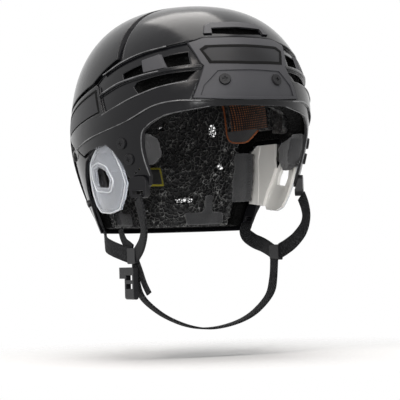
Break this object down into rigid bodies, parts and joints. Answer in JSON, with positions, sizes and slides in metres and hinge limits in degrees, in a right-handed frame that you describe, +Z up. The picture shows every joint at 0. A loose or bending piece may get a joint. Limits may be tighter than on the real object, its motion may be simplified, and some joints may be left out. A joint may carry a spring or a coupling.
{
  "type": "ice hockey helmet",
  "caption": "Two-piece ice hockey helmet with vented black shell, foam liner, clear ear guards and adjustable chin strap.",
  "frame": {"origin": "middle plane of the helmet, at its widest station, at the level of the rear shell's rim: the head mount's point", "axes": "+Z up along the head, -Y the way the face looks, -X the wearer's right"},
  "size_m": [0.2098, 0.2645, 0.2915],
  "materials": {
    "shell": "gloss black",
    "matte_cover": "matte dark grey",
    "badge": "satin dark grey",
    "foam": "moulded foam",
    "lattice_pad": "moulded lattice",
    "comfort_pad": "soft knit over foam",
    "ear_guard": "clear, slightly milky",
    "screw": "black",
    "nut": "plated",
    "stud": "black",
    "fitting": "satin black",
    "webbing": "woven",
    "tag": "woven label"
  },
  "bodies": {
    "front": {"front_shell": "shell", "brow_plate": "matte_cover", "brow_badge": "badge", "crown_vent": "matte_cover", "front_foam": "foam", "brow_pad": "lattice_pad", "crown_pad": "lattice_pad", "brow_screws": "screw", "brow_nuts": "nut", "chin_strap": "webbing", "strap_tail": "webbing", "strap_end": "webbing", "vent_bridge_right": "matte_cover", "side_badge_right": "badge", "ear_guard_right": "ear_guard", "side_pad_right": "lattice_pad", "temple_pad_right": "comfort_pad", "temple_screws_right": "screw", "temple_nuts_right": "nut", "front_clip_right": "fitting", "front_strap_right": "webbing", "rear_strap_right": "webbing", "strap_joiner_right": "fitting", "vent_bridge_left": "matte_cover", "side_badge_left": "badge", "ear_guard_left": "ear_guard", "side_pad_left": "lattice_pad", "temple_pad_left": "comfort_pad", "temple_screws_left": "screw", "temple_nuts_left": "nut", "front_clip_left": "fitting", "front_strap_left": "webbing", "rear_strap_left": "webbing", "strap_joiner_left": "fitting"},
    "rear": {"rear_shell": "shell", "rear_foam": "foam", "rear_pad": "lattice_pad", "nape_pad": "comfort_pad", "liner_tag": "tag", "rear_screws_right": "screw", "rear_nuts_right": "nut", "snap_stud_right": "stud", "rear_anchor_right": "fitting", "ear_pad_right": "comfort_pad", "rear_screws_left": "screw", "rear_nuts_left": "nut", "snap_stud_left": "stud", "rear_anchor_left": "fitting", "ear_pad_left": "comfort_pad"},
    "buckle": {"ladder_lock": "fitting", "pull_tab": "fitting"}
  },
  "joints": [
    {"name": "length_slide", "type": "slide", "parent": "front", "child": "rear", "axis": [0, 1, 0], "range_m": [0, 0.007], "deforming": ["rear_strap_right", "rear_strap_left"]},
    {"name": "buckle_tilt", "type": "hinge", "parent": "front", "child": "buckle", "pos_m": [-0.0723, -0.0286, -0.0574], "axis": [0, -1, 0], "range_deg": [0, 30]}
  ]
}
